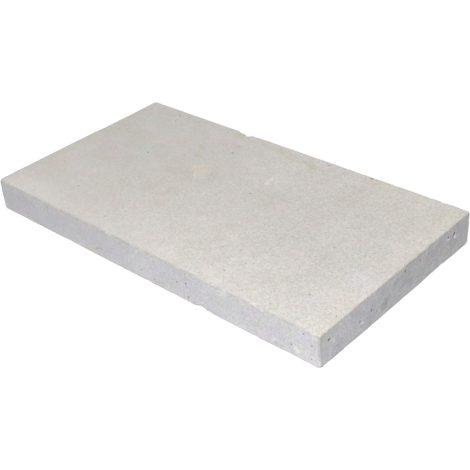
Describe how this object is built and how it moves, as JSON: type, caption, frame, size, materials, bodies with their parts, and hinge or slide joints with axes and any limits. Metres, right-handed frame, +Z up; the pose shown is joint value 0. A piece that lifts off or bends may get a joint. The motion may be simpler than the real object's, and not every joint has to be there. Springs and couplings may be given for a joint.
{
  "type": "travertine pool coping stone",
  "caption": "Rectangular travertine coping slab with square sawn edges, lightly tumbled and chipped arrises and open pores, laid flat on its bed face.",
  "frame": {"origin": "middle of the bed face, the large face that the stone lies on", "axes": "+X along the long side, +Y across the stone from the pool side to the deck side, +Z up out of the walked-on face"},
  "size_m": [0.61, 0.33, 0.05],
  "materials": {
    "travertine": "tumbled travertine: honed-worn top, sawn sides, open pores"
  },
  "bodies": {
    "root": {"coping_stone": "travertine"}
  },
  "joints": []
}
